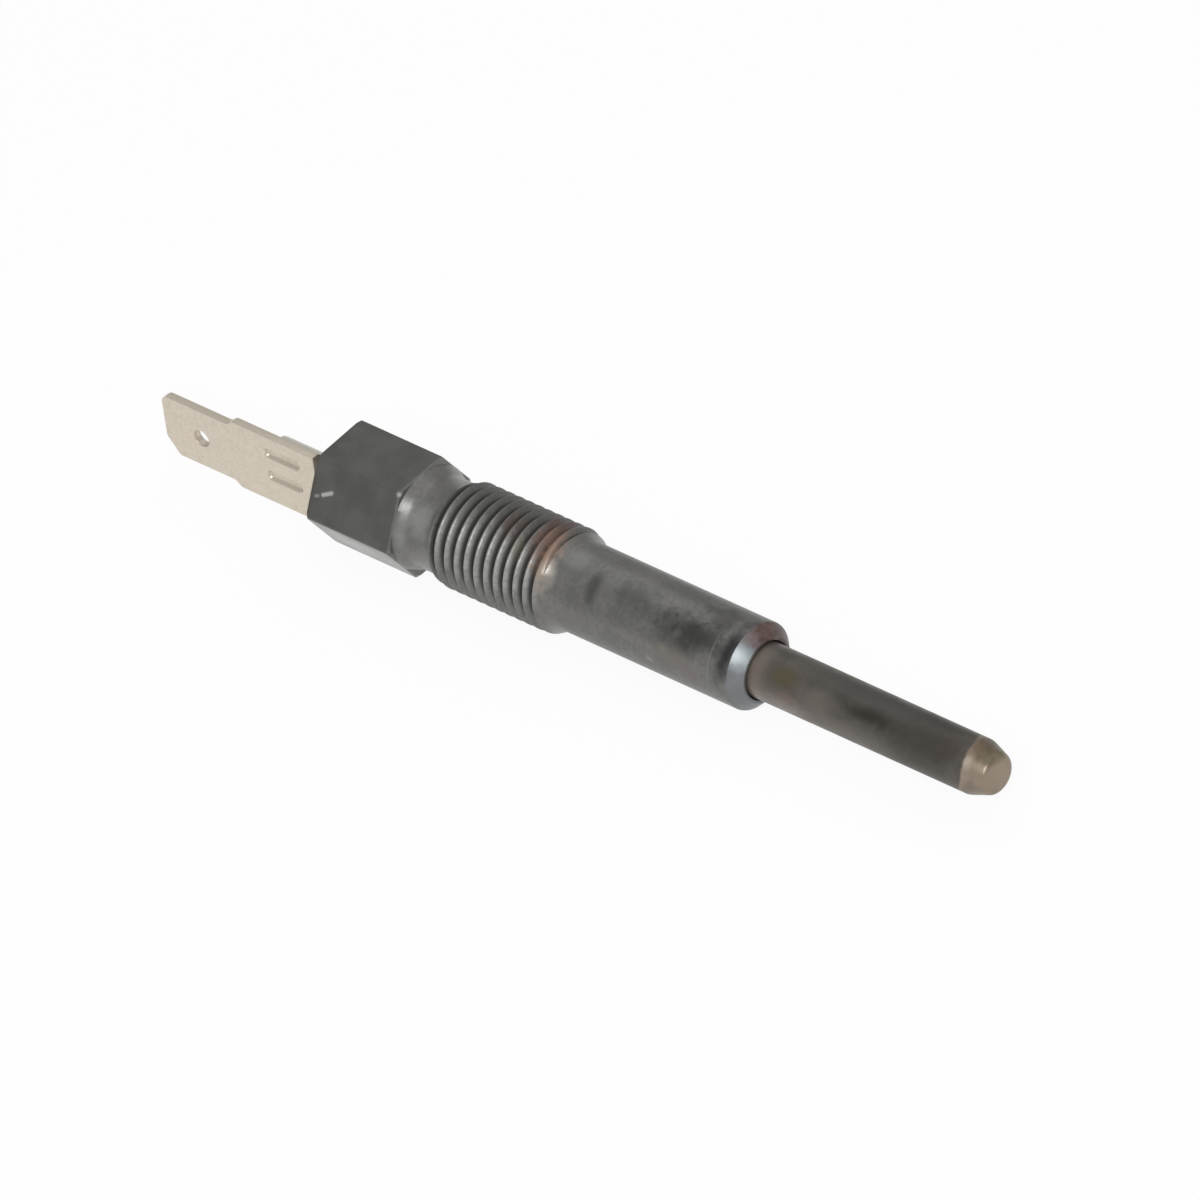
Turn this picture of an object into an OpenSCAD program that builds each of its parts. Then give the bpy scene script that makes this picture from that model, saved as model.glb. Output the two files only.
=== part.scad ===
// Diesel glow plug: a sheathed pencil plug with a hexagon, an M10 thread, a cone seat and a push-on blade.
// Millimetres. The plug lies along X with its glowing nose at +X and a hexagon flat downwards.
// The origin is on the axis, at the wide edge of the cone seat.

/* [Hexagon] */
// Width across the flats
hex_af = 10; // [9.2:0.1:12]
// Length of the hexagon
hex_len = 9.8; // [8:0.1:14]
// Depth of the bevel that is turned on the corners
corner_bevel = 0.37; // [0.1:0.01:0.7]
// Angle of the corner bevels from the end face
hex_bevel_deg = 35; // [15:1:60]

/* [Neck and thread] */
// Diameter of the neck between hexagon and thread
neck_d = 8.73; // [7.6:0.01:9.2]
// Length of the neck
neck_len = 3.3; // [1:0.1:6]
// Fillet between the hexagon and the neck
neck_fillet = 0.5; // [0.2:0.1:0.6]
// Outside diameter of the thread
thread_d = 9.97; // [9.4:0.01:10.4]
// Length at full diameter
thread_len = 12; // [8:0.1:18]
// Length of the bevel from the neck up to the thread
run_in_len = 1.3; // [0.4:0.1:2]
// Length of the bevel from the thread down to the shank
run_out_len = 1.45; // [0.4:0.05:3]

/* [Shank and cone seat] */
// Diameter of the smooth shank
shank_d = 8.4; // [7.4:0.1:9.2]
// Length of the shank from thread to seat
shank_len = 20.85; // [16:0.05:30]
// Length of the cone seat
seat_len = 1.15; // [0.6:0.05:1.6]
// Diameter at the small end of the seat
seat_small_d = 6.2; // [6:0.05:7]
// Width of the ring recess round the sheath
recess_w = 0.22; // [0.1:0.01:0.3]
// Depth of the ring recess
recess_depth = 0.5; // [0.2:0.05:1.5]

/* [Bore of the shell] */
// Length of the press fit on the sheath, from the seat's small end
press_len = 15; // [8:0.5:20]
// Play round the sheath behind the press fit
relief_gap = 0.25; // [0.1:0.05:0.5]
// Space behind the sheath's rear end
rear_space = 1; // [0.5:0.1:3]
// Air space round the terminal pin
pin_space = 0.5; // [0.3:0.05:1.2]
// Diameter of the pocket for the bush
pocket_d = 6; // [5.4:0.1:6.8]
// Depth of the pocket for the bush
pocket_depth = 5; // [3:0.1:6]

/* [Sheath] */
// Outside diameter of the sheath
tube_d = 5.3; // [4.8:0.05:5.6]
// Wall of the sheath
tube_wall = 0.6; // [0.4:0.05:0.8]
// Reach of the nose beyond the seat edge
tube_reach = 28.7; // [24:0.1:36]
// Length of the sheath inside the shell, behind the seat edge
tube_inside = 27; // [20:0.5:30]
// Length of the tapered nose
nose_len = 2.3; // [1.5:0.1:4]
// Diameter at the front of the taper, before its rounding
nose_d = 3.75; // [3.5:0.05:4.2]
// Rounding of the nose edge
nose_round = 0.6; // [0.2:0.05:0.9]
// Thickness of the closed end
nose_wall = 1; // [0.6:0.1:1.6]

/* [Filling and coils] */
// Length of the rubber plug in the sheath's rear mouth
seal_len = 3; // [1.5:0.1:6]
// Diameter of the coil wire
wire_d = 0.36; // [0.25:0.01:0.4]
// Turns wound close together on the pin's spigot
spigot_turns = 3; // [2:1:4]
// Turns of the control coil in front of the spigot
control_turns = 13; // [8:1:18]
// Turns of the heater coil
heater_turns = 15; // [8:1:20]
// Place where the two coils are welded, in front of the seat edge
coil_joint_x = 12; // [9:0.5:15]
// Thickness of filling between the heater coil and the closed end
web_t = 2.6; // [1.5:0.1:4]

/* [Terminal pin] */
// Diameter of the pin
pin_d = 2.7; // [2.6:0.05:3]
// Length of the pin behind the bush
pin_tail = 7.6; // [4:0.1:9]
// Rounding bevel at the pin's tail
pin_bevel = 0.3; // [0.1:0.05:0.6]
// Distance of the pin's front shoulder behind the seat edge
pin_shoulder = 1.5; // [0:0.1:6]
// Diameter of the spigot that carries the control coil
spigot_d = 1.74; // [1.5:0.01:1.9]
// Length of the spigot
spigot_len = 2.5; // [2:0.1:4]
// Depth of the flat under the blade
pin_flat = 0.05; // [0.02:0.01:0.3]

/* [Bush and ring] */
// Diameter of the bush's flange
flange_d = 8.4; // [7.5:0.1:9.2]
// Thickness of the flange
flange_t = 0.6; // [0.5:0.1:2]
// Bevel on the flange's rear edge
flange_bevel = 0.25; // [0.1:0.05:0.5]

/* [Blade] */
// Thickness of the blade
blade_t = 0.8; // [0.5:0.05:1]
// Width of the push-on tab
tab_w = 6.3; // [4.8:0.1:6.8]
// Length of the tab
tab_len = 8.55; // [6:0.05:11]
// Width of the wide part behind the tab
root_w = 7.4; // [7:0.1:9]
// Length of the wide part
root_len = 10.5; // [8:0.1:14]
// Length of the sloping shoulders between tab and wide part
shoulder_len = 0.7; // [0.2:0.1:1.5]
// Bevel at the lower corner of the tab's end, along the blade
low_bevel_l = 1.35; // [0.8:0.05:2.4]
// Bevel at the lower corner, across the blade
low_bevel_w = 1.7; // [0.4:0.1:1.8]
// Bevel at the upper corner of the tab's end, along the blade
top_bevel_l = 0.6; // [0.2:0.1:2.4]
// Bevel at the upper corner, across the blade
top_bevel_w = 0.5; // [0.2:0.1:1.8]
// Diameter of the locking hole
lock_hole_d = 1.7; // [1.2:0.1:2.2]
// Distance of the locking hole from the tab's end
lock_hole_x = 4.35; // [3.4:0.05:5.5]
// Distance of the blade's middle below the pin's axis
blade_drop = 0.6; // [0:0.05:0.8]
// Lean of the blade away from upright
blade_lean_deg = 3; // [0:0.5:10]
// Length of the two stamped ribs that hold the pin
rib_len = 3.8; // [1.5:0.1:4]
// Width of a rib
rib_w = 0.7; // [0.3:0.05:0.7]
// Height of a rib on the pin's side
rib_h = 0.28; // [0.1:0.01:0.3]
// Depth of the stamped groove behind a rib
rib_groove = 0.4; // [0.2:0.05:0.5]
// Distance of the ribs from the bush's end of the blade
rib_x = 3; // [2:0.1:4.5]

/* [Fits] */
// Radial gap of a press fit
press_gap = 0.01; // [0.005:0.005:0.02]
// Gap round pieces that are only held in place
seat_gap = 0.03; // [0.02:0.01:0.05]
// Gap between wire and filling
wire_gap = 0.05; // [0.03:0.01:0.06]
// Gap between the blade and the bush
blade_gap = 0.3; // [0.1:0.1:0.6]

/* [Hidden] */
$fn = 96;
// Length by which a cut runs past a face
cut = 1;
// Corners of a wire's section, and steps of its path in one turn
wire_sides = 6;
turn_steps = 14;
// Turning of the wire, in degrees, while it bends out of the coil into its straight end
lead_bend_deg = 60;
// Steps of that bend
bend_steps = 5;
// Steps of the arc that rounds the sheath's nose, and of the neck's fillet
nose_steps = 8;
fillet_steps = 5;

// Places along the axis, from the seat edge backwards
shank_rear = -shank_len;
thread_front = shank_rear - run_out_len;
thread_rear = thread_front - thread_len;
neck_front = thread_rear - run_in_len;
hex_front = neck_front - neck_len;
hex_rear = hex_front - hex_len;
pocket_front = hex_rear + pocket_depth;
flange_rear = hex_rear - flange_t;
pin_rear = flange_rear - pin_tail;
blade_front = flange_rear - blade_gap;
shoulder_front = blade_front - root_len;
shoulder_rear = shoulder_front - shoulder_len;
tab_rear = blade_front - root_len - tab_len;

// Places of the sheath and of what it holds
tube_rear = -tube_inside;
bore_step = tube_rear - rear_space;
nose_start = tube_reach - nose_len;
nose_inner = tube_reach - nose_wall;
fill_rear = tube_rear + seal_len;
fill_front = nose_inner - seat_gap;
web_rear = nose_inner - web_t;
shoulder_x = -pin_shoulder;
spigot_front = shoulder_x + spigot_len;

// Radii
hex_corner_r = hex_af / 2 / cos(30);
hex_face_r = hex_corner_r - corner_bevel;
hex_bevel_len = corner_bevel * tan(hex_bevel_deg);
fillet_r = max(seat_gap, min(neck_fillet, (hex_af - neck_d) / 2 - seat_gap));
thread_r = thread_d / 2;
tube_r = tube_d / 2;
tube_bore_r = tube_r - tube_wall;
nose_r = nose_d / 2;
nose_bore_r = nose_r - tube_wall + press_gap;
pin_r = pin_d / 2;
fill_r = tube_bore_r - press_gap;
pin_hole_r = pin_r + press_gap;
core_r = spigot_d / 2;
coil_r = core_r + wire_gap + wire_d / 2;
channel_r = coil_r + wire_d / 2 + wire_gap;
ring_r = (pocket_d / 2 - pin_r) / 2 - seat_gap;
ring_mid_r = (pocket_d / 2 + pin_r) / 2;
bush_front = pocket_front - 2 * ring_r - 2 * seat_gap;

// Coil pitch on the spigot, and in front of it
close_pitch = wire_d + wire_gap;
coil_start = shoulder_x + wire_d / 2 + wire_gap;
control_start = coil_start + spigot_turns * close_pitch;
control_pitch = (coil_joint_x - control_start) / control_turns;
bend_len = 2 * wire_d;
heater_end = web_rear - wire_d / 2 - wire_gap - bend_len;
heater_pitch = (heater_end - coil_joint_x) / heater_turns;
joint_turn = spigot_turns + control_turns;
heater_last_turn = joint_turn + heater_turns;
lead_end = nose_inner - press_gap;
lead_deg = 360 * heater_last_turn + lead_bend_deg;

// Turns a shape drawn along Z so that it lies along X
module along_x() {
  rotate([0, 90, 0]) children();
}

// Solid of revolution about X, from points [place along X, radius]
module turned(profile) {
  along_x() rotate_extrude() polygon([for (p = profile) [p[1], p[0]]]);
}

// Round rod along X between two places
module rod(from, to, r) {
  translate([from, 0, 0]) along_x() cylinder(h = to - from, r = r);
}

// Bar with round ends along X, standing on the plane z = 0
module stadium(length, width, height) {
  straight = length - width;
  translate([-straight / 2, -width / 2, 0]) cube([straight, width, height]);
  for (side = [-1, 1])
    translate([side * straight / 2, 0, 0]) cylinder(h = height, d = width);
}

// Outline of the sheath's nose as an arc that rounds the edge between the taper and the flat end
function nose_arc() =
  let (
    taper = atan2(tube_r - nose_r, nose_len),
    centre_r = nose_r - nose_round * tan(45 - taper / 2),
    centre_x = tube_reach - nose_round
  )
  [for (i = [0 : nose_steps])
    let (a = (90 - taper) * (1 - i / nose_steps))
    [centre_x + nose_round * cos(a), centre_r + nose_round * sin(a)]];

// Outline of the fillet that leads from the hexagon's face down to the neck
function neck_arc() =
  [for (i = [0 : fillet_steps])
    let (a = 90 * i / fillet_steps)
    [hex_front + fillet_r * (1 - cos(a)), neck_d / 2 + fillet_r * (1 - sin(a))]];

// Place along X, and angle, of the coil wire after a number of turns
function coil_x(turn) =
  turn < spigot_turns ? coil_start + turn * close_pitch :
  turn < joint_turn ? control_start + (turn - spigot_turns) * control_pitch :
  coil_joint_x + (turn - joint_turn) * heater_pitch;
function coil_point(turn) = [coil_x(turn), 360 * turn];
function coil_path(first, last) =
  [for (i = [0 : round((last - first) * turn_steps)]) coil_point(first + i / turn_steps)];

// Bend from the last turn into the straight end of the wire
function lead_path() = concat(
  [for (i = [1 : bend_steps])
    let (a = 90 * i / bend_steps)
    [heater_end + bend_len * (1 - cos(a)), 360 * heater_last_turn + lead_bend_deg * sin(a)]],
  [[web_rear, lead_deg], [lead_end, lead_deg]]);

// Wire of round section along a path of [place along X, angle]
function on_coil(p) = [p[0], coil_r * cos(p[1]), coil_r * sin(p[1])];
function way(points, i) =
  let (d = points[min(i + 1, len(points) - 1)] - points[max(i - 1, 0)]) d / norm(d);
module wire(path, first_way, last_way) {
  points = [for (p = path) on_coil(p)];
  last = len(path) - 1;
  rings = [for (i = [0 : last], k = [0 : wire_sides - 1])
    let (
      outward = [0, cos(path[i][1]), sin(path[i][1])],
      along = i == 0 ? first_way : i == last ? last_way : way(points, i),
      side = cross(along, outward),
      a = 360 * k / wire_sides
    )
    points[i] + wire_d / 2 * (cos(a) * outward + sin(a) * side)];
  walls = [for (i = [0 : last - 1], k = [0 : wire_sides - 1])
    let (a = i * wire_sides + k, b = i * wire_sides + (k + 1) % wire_sides)
    each [[a, a + wire_sides, b], [b, a + wire_sides, b + wire_sides]]];
  caps = [
    [for (k = [0 : wire_sides - 1]) k],
    [for (k = [wire_sides - 1 : -1 : 0]) last * wire_sides + k]
  ];
  polyhedron(points = rings, faces = concat(walls, caps));
}

// Direction of the wire where the two coils meet
joint_way =
  let (d = on_coil(coil_point(joint_turn + 1 / turn_steps)) - on_coil(coil_point(joint_turn - 1 / turn_steps)))
  d / norm(d);
coil_start_way =
  let (d = on_coil(coil_point(1 / turn_steps)) - on_coil(coil_point(0))) d / norm(d);

// Steel shell
module plug_body() {
  color([0.30, 0.30, 0.29]) difference() {
    union() {
      intersection() {
        translate([hex_rear, 0, 0]) along_x() rotate([0, 0, 30])
          cylinder(h = hex_len, r = hex_corner_r, $fn = 6);
        turned([
          [hex_rear, 0], [hex_rear, hex_face_r], [hex_rear + hex_bevel_len, hex_corner_r],
          [hex_front - hex_bevel_len, hex_corner_r], [hex_front, hex_face_r], [hex_front, 0]
        ]);
      }
      turned(concat(
        [[hex_front - hex_len / 2, 0], [hex_front - hex_len / 2, neck_d / 2 + fillet_r]],
        neck_arc(),
        [
          [neck_front, neck_d / 2], [thread_rear, thread_r], [thread_front, thread_r],
          [shank_rear, shank_d / 2], [0, shank_d / 2], [seat_len, seat_small_d / 2], [seat_len, 0]
        ]));
    }
    turned([
      [hex_rear - cut, 0], [hex_rear - cut, pocket_d / 2], [pocket_front, pocket_d / 2],
      [pocket_front, pin_r + pin_space], [bore_step, pin_r + pin_space],
      [bore_step, tube_r + relief_gap], [seat_len - press_len, tube_r + relief_gap],
      [seat_len - press_len, tube_r + press_gap], [seat_len - recess_depth, tube_r + press_gap],
      [seat_len, tube_r + recess_w], [seat_len + cut, tube_r + recess_w], [seat_len + cut, 0]
    ]);
  }
}

// Drawn sheath with its closed nose
module glow_tube() {
  color([0.36, 0.34, 0.31]) difference() {
    turned(concat(
      [[tube_rear, 0], [tube_rear, tube_r], [nose_start, tube_r]],
      nose_arc(),
      [[tube_reach, 0]]));
    turned([
      [tube_rear - cut, 0], [tube_rear - cut, tube_bore_r], [nose_start, tube_bore_r],
      [nose_inner, nose_bore_r], [nose_inner, 0]
    ]);
  }
}

// Packed magnesium oxide, with the channel that the coils lie in and the hole for the wire's straight end
module magnesia_fill() {
  color([0.93, 0.92, 0.88]) difference() {
    turned([
      [fill_rear, 0], [fill_rear, fill_r], [nose_start, fill_r],
      [fill_front, nose_bore_r - press_gap], [fill_front, 0]
    ]);
    rod(fill_rear - cut, shoulder_x + seat_gap, pin_hole_r);
    difference() {
      rod(shoulder_x, web_rear, channel_r);
      rod(spigot_front + seat_gap, web_rear + cut, core_r);
    }
    translate([0, coil_r * cos(lead_deg), coil_r * sin(lead_deg)])
      rod(web_rear - cut, fill_front + cut, wire_d / 2 + wire_gap / 2);
  }
}

// Front coil, with its straight end against the nose
module heater_coil() {
  color([0.60, 0.58, 0.55])
    wire(concat(coil_path(joint_turn, heater_last_turn), lead_path()), joint_way, [1, 0, 0]);
}

// Rear coil, wound on the pin's spigot
module control_coil() {
  color([0.70, 0.68, 0.62])
    wire(coil_path(0, joint_turn), coil_start_way, joint_way);
}

// Pin with the flat that the blade is welded to
module terminal_pin() {
  color([0.62, 0.60, 0.56]) difference() {
    turned([
      [pin_rear, 0], [pin_rear, pin_r - pin_bevel], [pin_rear + pin_bevel, pin_r],
      [shoulder_x, pin_r], [shoulder_x, spigot_d / 2], [spigot_front, spigot_d / 2], [spigot_front, 0]
    ]);
    rotate([-blade_lean_deg, 0, 0])
      translate([pin_rear - cut, -pin_r - cut, -pin_r])
        cube([blade_front - pin_rear + cut, cut + pin_flat, pin_d]);
  }
}

// Rubber plug in the sheath's rear mouth
module tube_seal() {
  color([0.12, 0.12, 0.12]) difference() {
    rod(tube_rear, fill_rear - seat_gap, tube_bore_r - press_gap);
    rod(tube_rear - cut, fill_rear + cut, pin_hole_r);
  }
}

// Rubber ring between pin and shell
module o_ring() {
  color([0.10, 0.10, 0.10])
    translate([pocket_front - ring_r - seat_gap, 0, 0]) along_x()
      rotate_extrude() translate([ring_mid_r, 0]) circle(r = ring_r);
}

// Moulded bush with its flange on the back of the hexagon
module insulator_bush() {
  color([0.16, 0.13, 0.11]) difference() {
    turned([
      [flange_rear, 0], [flange_rear, flange_d / 2 - flange_bevel],
      [flange_rear + flange_bevel, flange_d / 2], [hex_rear, flange_d / 2],
      [hex_rear, pocket_d / 2 - seat_gap], [bush_front, pocket_d / 2 - seat_gap], [bush_front, 0]
    ]);
    rod(flange_rear - cut, bush_front + cut, pin_r + seat_gap);
  }
}

// Flat outline of the blade, with the tab's bevelled end at -X
module blade_outline() {
  half_tab = tab_w / 2;
  half_root = root_w / 2;
  polygon([
    [tab_rear, half_tab - top_bevel_w], [tab_rear + top_bevel_l, half_tab],
    [shoulder_rear, half_tab], [shoulder_front, half_root],
    [blade_front, half_root], [blade_front, -half_root],
    [shoulder_front, -half_root], [shoulder_rear, -half_tab],
    [tab_rear + low_bevel_l, -half_tab], [tab_rear, -half_tab + low_bevel_w]
  ]);
}

// Stamped blade on the pin's flat, with its locking hole and the ribs on both sides of the pin
module blade_terminal() {
  seat = pin_r - pin_flat;
  rib_y = sqrt(pin_hole_r ^ 2 - (seat - rib_h) ^ 2) + rib_w / 2;
  rib_at = blade_front - rib_x - rib_len / 2;
  color([0.78, 0.75, 0.69])
    rotate([90 - blade_lean_deg, 0, 0]) translate([0, 0, seat]) {
      difference() {
        translate([0, -blade_drop, 0]) linear_extrude(blade_t) blade_outline();
        translate([tab_rear + lock_hole_x, -blade_drop, -cut]) cylinder(h = blade_t + 2 * cut, d = lock_hole_d);
        for (side = [-1, 1])
          translate([rib_at, side * rib_y, blade_t - rib_groove]) stadium(rib_len, rib_w, rib_groove + cut);
      }
      for (side = [-1, 1])
        translate([rib_at, side * rib_y, -rib_h]) stadium(rib_len, rib_w, rib_h);
    }
}

plug_body();
glow_tube();
magnesia_fill();
heater_coil();
control_coil();
terminal_pin();
tube_seal();
o_ring();
insulator_bush();
blade_terminal();
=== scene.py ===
# %% [markdown]
# # A diesel glow plug
#
# A glow plug is a small electric heater that is screwed into the head of a diesel engine. Seen from outside it is
# a dark steel shell with a hexagon, a screw thread and a smooth shank, a slim heating tube with a bright nose, and
# a flat plated blade for the push-on lead.
#
# The model comes from CAD with every piece in its place. Blender adds what the eye looks for: the cut thread,
# soft edges, the stains, rust and rubbed metal of a plug that has been handled, and some painted highlights and
# shade.

# %% Load the imported model
import math

import bpy
from mathutils import Matrix, Vector


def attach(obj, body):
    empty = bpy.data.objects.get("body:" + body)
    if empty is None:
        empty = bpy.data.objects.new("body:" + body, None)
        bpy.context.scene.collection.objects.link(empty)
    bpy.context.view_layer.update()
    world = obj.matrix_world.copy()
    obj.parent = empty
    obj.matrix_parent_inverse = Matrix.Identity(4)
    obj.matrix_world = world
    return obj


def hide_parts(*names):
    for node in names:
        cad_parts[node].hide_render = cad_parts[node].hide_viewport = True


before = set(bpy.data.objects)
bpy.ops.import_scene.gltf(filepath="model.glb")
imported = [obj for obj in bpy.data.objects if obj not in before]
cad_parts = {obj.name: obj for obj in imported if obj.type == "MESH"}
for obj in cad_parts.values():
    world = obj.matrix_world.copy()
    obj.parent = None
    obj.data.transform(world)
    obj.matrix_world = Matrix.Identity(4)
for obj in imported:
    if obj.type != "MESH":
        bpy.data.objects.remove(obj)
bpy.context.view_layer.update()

print("CAD nodes:", ", ".join(sorted(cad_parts)))

# %% [markdown]
# ## Drawing in millimetres
#
# The frame is in metres, where this plug is only a tenth of a unit long. Blender's merging and bevelling tools work
# best on things about one unit in size, so each new piece is drawn with one unit to the millimetre. When it is
# finished it is shrunk by a thousand and the scale is applied, which leaves its object at the origin.

# %% Helpers for selecting and finishing
MM = 0.001


def deselect_all():
    """Leaves edit mode and drops every selection, because an operator acts on all that is selected."""
    if bpy.context.mode != "OBJECT":
        bpy.ops.object.mode_set(mode="OBJECT")
    bpy.ops.object.select_all(action="DESELECT")


def pick(piece):
    """Makes one object the selected and active one."""
    deselect_all()
    piece.select_set(True)
    bpy.context.view_layer.objects.active = piece


def finish_piece(piece, node, smooth_deg):
    """Shrinks a piece to metres, shades it, and lets it stand for its CAD node."""
    pick(piece)
    piece.scale = (MM, MM, MM)
    bpy.ops.object.transform_apply(location=True, rotation=True, scale=True)
    bpy.ops.object.shade_smooth_by_angle(angle=math.radians(smooth_deg))
    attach(piece, "root")
    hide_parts(node)
    size = piece.dimensions / MM
    print(f"{piece.name}: {len(piece.data.polygons)} faces, {size.x:.2f} x {size.y:.2f} x {size.z:.2f} mm")


# %% [markdown]
# ## A lathe
#
# Nearly every piece of a plug is turned. On a lathe the cutter follows a line, and the work turns past it. Blender's
# Spin does the same: the line is drawn as a chain of vertices, one extrude after another, and spun once round the X
# axis. The line can begin and end on the axis, or close on itself where the piece has a bore.
#
# After the spin the doubled vertices at the seam and at the poles are merged. Only then are the normals turned
# outwards, because they can't be right while the seam is open.

# %% Helpers for turned pieces
SEGMENTS = 192
MERGE = 0.0005


def draw_line(name, points):
    """Draws a chain of vertices through the points, starting from a plane that is merged to a single vertex."""
    deselect_all()
    bpy.ops.mesh.primitive_plane_add(size=1, location=(0, 0, 0))
    piece = bpy.context.object
    piece.name = name
    piece.data.name = name
    bpy.ops.object.mode_set(mode="EDIT")
    bpy.ops.mesh.merge(type="CENTER")
    places = [Vector(point) for point in points]
    bpy.ops.transform.translate(value=places[0])
    for here, there in zip(places, places[1:]):
        bpy.ops.mesh.extrude_region_move(TRANSFORM_OT_translate={"value": there - here})
    return piece


def merge_doubles():
    """Selects everything and merges the vertices that lie in one place, in edit mode."""
    bpy.ops.mesh.select_all(action="SELECT")
    bpy.ops.mesh.remove_doubles(threshold=MERGE)


def close_skin():
    """Merges doubled vertices and turns the faces outwards, in edit mode."""
    merge_doubles()
    bpy.ops.mesh.normals_make_consistent(inside=False)


def turn(name, profile):
    """Spins a line of (place along the axis, radius) points into a solid of revolution about X."""
    piece = draw_line(name, [(x, 0, r) for x, r in profile])
    bpy.ops.mesh.select_all(action="SELECT")
    bpy.ops.mesh.spin(steps=SEGMENTS, angle=2 * math.pi, center=(0, 0, 0), axis=(1, 0, 0))
    close_skin()
    bpy.ops.object.mode_set(mode="OBJECT")
    return piece


def arc(centre, radius, start_deg, end_deg, steps):
    """Points of an arc in the plane of a profile."""
    angles = [math.radians(start_deg + (end_deg - start_deg) * i / steps) for i in range(steps + 1)]
    return [(centre[0] + radius * math.cos(a), centre[1] + radius * math.sin(a)) for a in angles]


def apply_modifier(piece, kind, **settings):
    """Adds a modifier to a piece, sets its values, and applies it."""
    pick(piece)
    bpy.ops.object.modifier_add(type=kind)
    modifier = piece.modifiers[-1]
    for name, value in settings.items():
        setattr(modifier, name, value)
    bpy.ops.object.modifier_apply(modifier=modifier.name)


def combine(piece, tool, operation):
    """Joins, cuts or crops a piece with a tool, which is used up."""
    apply_modifier(piece, "BOOLEAN", operation=operation, solver="EXACT", object=tool)
    bpy.data.objects.remove(tool, do_unlink=True)


# %% [markdown]
# ## The shell: hexagon
#
# The shell starts as hexagon bar, 10 mm across the flats. A six-sided cylinder is that bar. Its long edges get a
# narrow bevel, because drawn bar is never quite sharp, and a turned blank crops the corners at both ends to the
# little curved bevels that every spanner hexagon has.

# %% Hexagon with bevelled corners
HEX_REAR, HEX_FRONT = -48.7, -38.9
HEX_CORNER = 5.7735
HEX_FACE = 5.4035
HEX_BEVEL = 0.259
EDGE_ROUND = 0.14

deselect_all()
bpy.ops.mesh.primitive_cylinder_add(
    vertices=6, radius=HEX_CORNER, depth=HEX_FRONT - HEX_REAR,
    location=((HEX_REAR + HEX_FRONT) / 2, 0, 0), rotation=(0, math.radians(90), 0))
hexagon = bpy.context.object
hexagon.name = "hexagon"
bpy.ops.object.transform_apply(location=True, rotation=True, scale=True)
bpy.ops.object.mode_set(mode="EDIT")
bpy.ops.mesh.select_all(action="DESELECT")
bpy.ops.object.mode_set(mode="OBJECT")
for edge in hexagon.data.edges:
    ends = [hexagon.data.vertices[i].co for i in edge.vertices]
    edge.select = abs(ends[0].x - ends[1].x) > 1
bpy.ops.object.mode_set(mode="EDIT")
bpy.ops.mesh.select_mode(type="EDGE")
bpy.ops.mesh.bevel(offset=EDGE_ROUND, segments=4, affect="EDGES")
bpy.ops.mesh.select_mode(type="VERT")
bpy.ops.object.mode_set(mode="OBJECT")

blank = turn("corner_blank", [
    (HEX_REAR, 0), (HEX_REAR, HEX_FACE), (HEX_REAR + HEX_BEVEL, HEX_CORNER),
    (HEX_FRONT - HEX_BEVEL, HEX_CORNER), (HEX_FRONT, HEX_FACE), (HEX_FRONT, 0)])
combine(hexagon, blank, "INTERSECT")
print("hexagon:", len(hexagon.data.polygons), "faces, flats at z =",
      round(max(v.co.z for v in hexagon.data.vertices), 3))

# %% [markdown]
# ## The shell: neck, thread blank and shank
#
# In front of the hexagon the bar is turned down to a neck that flares at its foot, then to the outside
# diameter of the thread, and then to the long smooth shank with the cone seat that seals in the engine. The bore
# runs through all of it: a pocket for the bush at the back, a clear hole round the pin, and a close fit on the
# heating tube. A narrow ring stays open round the tube at the seat.

# %% Turned body
NECK = 4.365
NECK_FOOT = [(0.0, 0.63), (0.4, 0.417), (0.8, 0.205), (1.1, 0.06), (1.35, 0.012), (1.6, 0.0)]
THREAD = 4.985
SHANK = 4.2
NECK_FRONT, THREAD_REAR, THREAD_FRONT, SHANK_REAR = -35.6, -34.3, -22.3, -20.85
SEAT_LENGTH, SEAT_SMALL = 1.15, 3.1
EDGE_REAR, EDGE_FRONT, EDGE_DROP = -0.1, 0.05, 0.05
HEX_MIDDLE = (HEX_REAR + HEX_FRONT) / 2

shell = turn("threaded_shell", [
    (HEX_MIDDLE, 0), (HEX_MIDDLE, NECK + NECK_FOOT[0][1]), *[(HEX_FRONT + x, NECK + r) for x, r in NECK_FOOT],
    (NECK_FRONT, NECK), (THREAD_REAR, THREAD), (THREAD_FRONT, THREAD), (SHANK_REAR, SHANK),
    (EDGE_REAR, SHANK), (EDGE_FRONT, SHANK - EDGE_DROP), (SEAT_LENGTH, SEAT_SMALL), (SEAT_LENGTH, 0)])
combine(shell, hexagon, "UNION")
print("turned body with its hexagon:", len(shell.data.polygons), "faces")

# %% Stepped bore
POCKET, PIN_HOLE, TUBE_PLAY, TUBE_FIT, TUBE_MOUTH = 3.0, 1.85, 2.9, 2.66, 2.87
POCKET_FRONT, PIN_HOLE_FRONT, PLAY_FRONT, FIT_FRONT = -43.7, -28.0, -13.85, 0.65
PAST_THE_END = 1

bore = turn("stepped_bore", [
    (HEX_REAR - PAST_THE_END, 0), (HEX_REAR - PAST_THE_END, POCKET), (POCKET_FRONT, POCKET),
    (POCKET_FRONT, PIN_HOLE), (PIN_HOLE_FRONT, PIN_HOLE), (PIN_HOLE_FRONT, TUBE_PLAY), (PLAY_FRONT, TUBE_PLAY),
    (PLAY_FRONT, TUBE_FIT), (FIT_FRONT, TUBE_FIT), (SEAT_LENGTH, TUBE_MOUTH),
    (SEAT_LENGTH + PAST_THE_END, TUBE_MOUTH), (SEAT_LENGTH + PAST_THE_END, 0)])
combine(shell, bore, "DIFFERENCE")
print("bored blank:", len(shell.data.polygons), "faces")

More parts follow.
